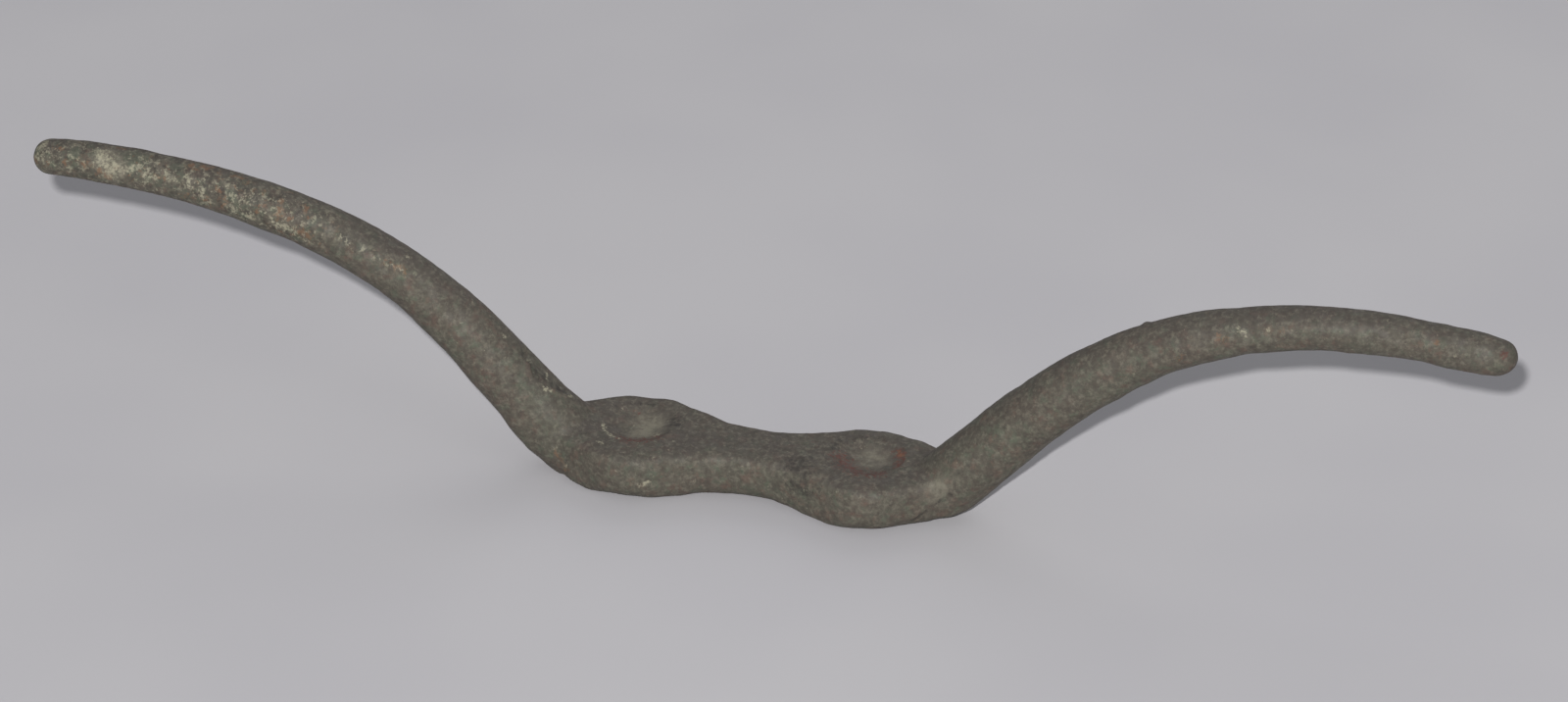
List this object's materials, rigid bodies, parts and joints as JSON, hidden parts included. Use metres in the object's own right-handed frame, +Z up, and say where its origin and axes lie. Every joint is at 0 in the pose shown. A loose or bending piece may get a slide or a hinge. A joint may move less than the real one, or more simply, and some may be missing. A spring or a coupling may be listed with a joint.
{
  "type": "cleat horn",
  "caption": "Cast cleat: a flat-bottomed bar with dished screw spots on its bosses, and tapering horns that rise and curve over, for belaying a rope.",
  "frame": {"origin": "on the flat underside, midway between the two bosses", "axes": "+X along the cleat, +Y across it, +Z up, away from the surface that it is fastened to"},
  "size_m": [0.203, 0.0176, 0.0412],
  "materials": {
    "cast_metal": "rough sand-cast bronze under a dull olive-brown patina, with rust-red and chalky spots"
  },
  "bodies": {
    "root": {"cleat_horn_casting": "cast_metal"}
  },
  "joints": []
}
